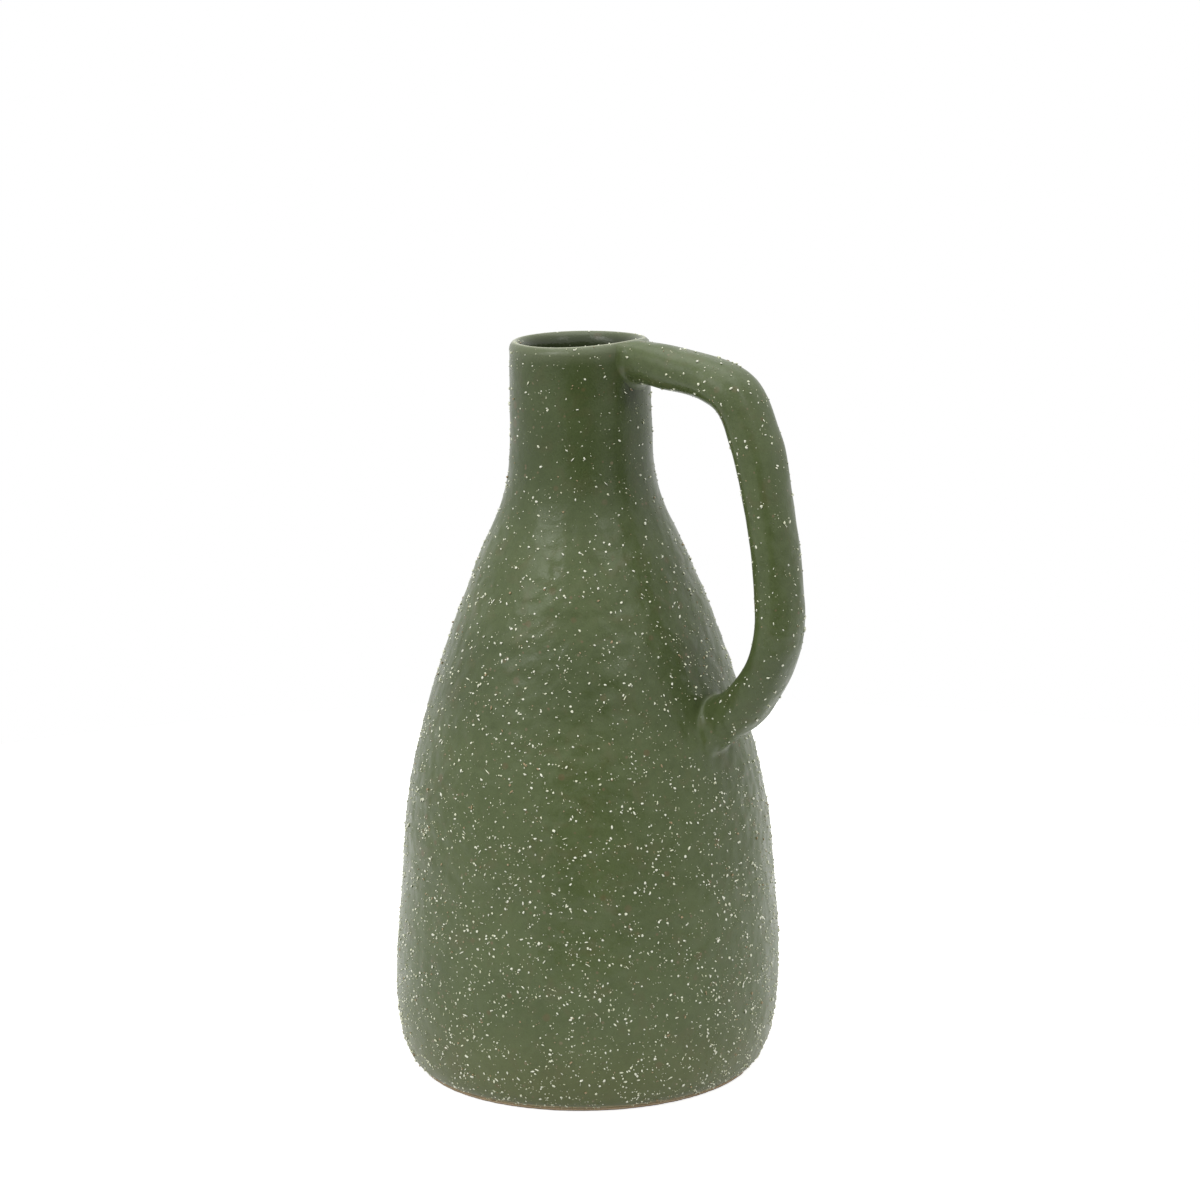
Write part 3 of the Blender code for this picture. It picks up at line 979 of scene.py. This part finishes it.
def grit_material(glaze):
    """Grains of cream and tan grit, with painted shadow round each foot, heavier on the lower side.
    """
    material, nodes, shader = new_material("grit_in_glaze")
    place = object_place(nodes)
    surface = nodes.group(glaze, Vector=place)
    ramp = nodes.add("ShaderNodeValToRGB", (("Fac", nodes.mark("grain_tone")),))
    stops = (
        (0.0, colour(0.17, 0.20, 0.09)),
        (0.25, colour(0.34, 0.36, 0.20)),
        (0.44, colour(0.74, 0.76, 0.50)),
        (0.62, colour(0.92, 0.94, 0.72)),
        (0.90, colour(0.97, 0.98, 0.82)),
        (0.97, colour(0.42, 0.31, 0.17)),
    )
    elements = ramp.color_ramp.elements
    elements[0].position, elements[0].color = stops[0]
    elements[1].position, elements[1].color = stops[-1]
    for position, tint in stops[1:-1]:
        elements.new(position).color = tint
    speckle = nodes.noise(place, 4000.0, 2.0, 0.6)
    uneven = nodes.math("MULTIPLY", nodes.math("SUBTRACT", speckle, 0.5), 0.5)
    bare = nodes.spread(nodes.math("ADD", nodes.mark("grain_level_and_shadow"), uneven), 0.32, 0.50)
    # Painted shadow round each grain's foot: the glaze colour darkened nearly to black
    grain_shadow = nodes.mix(0.85, surface["Color"], colour(0.014, 0.020, 0.006))
    tint = nodes.mix(bare, grain_shadow, ramp.outputs["Color"])
    rough = nodes.spread(bare, 0.0, 1.0, 0.36, 0.28, smooth=False)
    nodes.feed(shader, Base_Color=tint, Roughness=rough, Specular_IOR_Level=0.55)
    return material


def bare_clay_material(flecks):
    """Unglazed fired stoneware: tan, sandy, with grog, faint turning marks and a dark line
    of painted contact shade just above the table."""
    material, nodes, shader = new_material("bare_fired_clay")
    place = object_place(nodes)
    clouds = nodes.noise(place, 70.0, 3.0, 0.6)
    sand = nodes.noise(place, 1800.0, 3.0, 0.7)
    grog = nodes.group(flecks, Vector=place, Cells_per_metre=700.0, Share=0.35, Radius=0.25)
    dark, light = colour(0.62, 0.47, 0.30), colour(0.78, 0.62, 0.43)
    tint = nodes.mix(nodes.spread(clouds, 0.3, 0.7), dark, light)
    tint = nodes.mix(nodes.spread(sand, 0.35, 0.7, 0.0, 0.4), tint, colour(0.36, 0.25, 0.14))
    # Painted contact shade: a dark line just above the table
    contact_shade = nodes.band(nodes.height(place), (0.00002, 0.00016), (0.00042, 0.00064))
    tint = nodes.lay(
        tint,
        (grog["Mask"], 0.7, colour(0.62, 0.55, 0.42)),
        (contact_shade, 0.85, colour(0.085, 0.045, 0.025)),
    )
    rough = nodes.spread(sand, 0.3, 0.7, 0.78, 0.95, smooth=False)
    flat = nodes.vector_math("MULTIPLY", place, (1.0, 1.0, 0.0))[0]
    radius = nodes.vector_math("LENGTH", flat)["Value"]
    rings = nodes.math("SINE", nodes.math("MULTIPLY", radius, 5200.0))
    height = nodes.math("ADD", nodes.math("MULTIPLY", rings, 0.08), sand)
    nodes.feed(shader, Base_Color=tint, Roughness=rough, Normal=nodes.bump(height, 0.6, 0.0002))
    return material


# ------------ studio


def make_world(level):
    """A white room: plain white for camera, glossy and transmission rays, softer as a light."""
    world = bpy.data.worlds.new("white_room")
    bpy.context.scene.world = world
    world.use_nodes = True
    nodes = Nodes(world.node_tree)
    world.node_tree.nodes.clear()
    soft, white = (
        nodes.add("ShaderNodeBackground", (("Color", colour(1, 1, 1)), ("Strength", strength)))
        for strength in (level, 1.0)
    )
    path = nodes.add("ShaderNodeLightPath").outputs
    seen = nodes.math("ADD", path["Is Camera Ray"], path["Is Glossy Ray"])
    seen = nodes.math("ADD", seen, path["Is Transmission Ray"], clamp=True)
    inputs = enumerate((seen, soft.outputs[0], white.outputs[0]))
    mix = nodes.add("ShaderNodeMixShader", inputs)
    nodes.join(mix.outputs[0], nodes.add("ShaderNodeOutputWorld"), 0)


def make_floor():
    """A pale round floor. It keeps the vase's shadow near the foot, and fades to white."""
    material, nodes, shader = new_material("pale_floor")
    tint, white = colour(0.86, 0.86, 0.85), colour(1.0, 1.0, 1.0)
    nodes.feed(shader, Base_Color=tint, Roughness=0.9, Specular_IOR_Level=0.1)
    distance = nodes.vector_math("LENGTH", object_place(nodes))["Value"]
    glow = nodes.spread(distance, 0.06, 0.30, 0.78, 1.0)
    path = nodes.add("ShaderNodeLightPath").outputs
    mirrored = nodes.math("ADD", path["Is Glossy Ray"], path["Is Transmission Ray"], clamp=True)
    dimmed = nodes.math("MULTIPLY", mirrored, 0.45)
    seen = nodes.math("ADD", path["Is Camera Ray"], dimmed, clamp=True)
    glow = nodes.math("MULTIPLY", glow, seen)
    nodes.feed(shader, Emission_Color=white, Emission_Strength=glow)
    angles = np.linspace(0.0, math.tau, 64, endpoint=False)
    ring = turned(FLOOR_RADIUS, angles, -0.00002)
    floor = new_piece("floor", ring, [tuple(range(64))], material)


def make_dark_card(forward, right):
    """A dark card bent round the front, which the glaze mirrors: an upright sheet on an arc
    about the axis, low at the right, lower at the left and high behind the camera."""
    material, nodes, shader = new_material("dark_card")
    tint = colour(0.02, 0.02, 0.02)
    nodes.feed(shader, Base_Color=tint, Roughness=1.0, Specular_IOR_Level=0.0)
    turns = np.linspace(-68.0, 68.0, 69)
    sides = -0.14 + 0.15 * smooth_step(-8.0, 8.0, turns)
    tops = sides + (0.50 - sides) * smooth_step(29.0, 17.0, np.abs(turns))
    angles = np.radians(turns)[:, None]
    sheet = CARD_DISTANCE * (np.sin(angles) * np.array(right) - np.cos(angles) * np.array(forward))
    lower, upper = sheet.copy(), sheet.copy()
    lower[:, 2], upper[:, 2] = -0.55, tops
    index = np.arange(len(turns) - 1)
    faces = np.stack((index, index + 1, index + 1 + len(turns), index + len(turns)), axis=-1)
    card = new_piece("dark_card", np.concatenate((lower, upper)), faces.tolist(), material)
    card.visible_camera = False


def lamp(name, place, aim, width, height, power):
    """A soft rectangular lamp turned towards a point."""
    light = bpy.data.lights.new(name, "AREA")
    light.shape = "RECTANGLE"
    light.size = width
    light.size_y = height
    light.energy = power
    item = new_object(name, light)
    item.location = place
    item.rotation_euler = (aim - place).to_track_quat("-Z", "Y").to_euler()


def make_camera():
    """The photograph's viewpoint: 1.15 m away, looking down 13 degrees. Returns the way it
    looks."""
    eye = Vector((0.65875, -0.90670, 0.38277))
    forward = Vector((-0.57255, 0.79656, -0.19414)).normalized()
    right = Vector((0.81335, 0.58165, -0.01217))
    right = (right - forward * right.dot(forward)).normalized()
    up = right.cross(forward)
    data = bpy.data.cameras.new("photo_view")
    data.sensor_width = 36.0
    data.lens = 101.41
    data.clip_start = 0.05
    data.clip_end = 20.0
    item = new_object("photo_view", data)
    turn = Matrix((right, up, -forward)).transposed()
    item.matrix_world = Matrix.Translation(eye) @ turn.to_4x4()
    bpy.context.scene.camera = item
    return forward


def make_studio():
    """The camera, the white room, the floor, the dark card and four soft lamps."""
    look = make_camera()
    forward = Vector((look.x, look.y, 0.0)).normalized()
    right = Vector((forward.y, -forward.x, 0.0))
    make_world(WORLD_LEVEL)
    make_floor()
    make_dark_card(forward, right)
    middle = Vector(MIDDLE)
    for name, turn, lift, width, power in LAMPS:
        angle, rise = math.radians(turn), math.radians(lift)
        level = -forward * math.cos(angle) + right * math.sin(angle)
        raised = Vector((0.0, 0.0, LAMP_DISTANCE * math.sin(rise)))
        place = middle + level * (LAMP_DISTANCE * math.cos(rise)) + raised
        lamp(name, place, middle, width, LAMP_HEIGHT, power)
    height, size, power = TOP_LAMP
    above = forward * 0.05 + Vector((0.0, 0.0, height))
    lamp("top_soft_lamp", above, middle, size, size, power)


# ------------ putting it together


def main():
    """Makes the materials, the pieces and the room."""
    bpy.context.scene.view_settings.view_transform = "Standard"
    glaze, flecks = glaze_group(), flecks_group()
    green = glaze_material("satin_green_glaze", glaze, flecks, 0.36)
    plain_green = glaze_material("satin_green_glaze_on_handle", glaze, flecks, 0.0)
    grit_glaze = grit_material(glaze)
    clay = bare_clay_material(flecks)

    wall, wall_grid, rows = make_wall(green)
    base = make_base(clay)
    handle, handle_grid = make_handle(plain_green)
    grit = make_all_grit(wall_grid, rows, handle_grid, grit_glaze)

    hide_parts("base_seam_coil", "body_wall", "neck_collar")
    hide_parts("base_slab")
    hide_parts("handle", "upper_handle_coil", "lower_handle_coil")
    for piece in (wall, handle, *grit):
        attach(piece, "root")
    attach(base, "root")
    make_studio()


main()
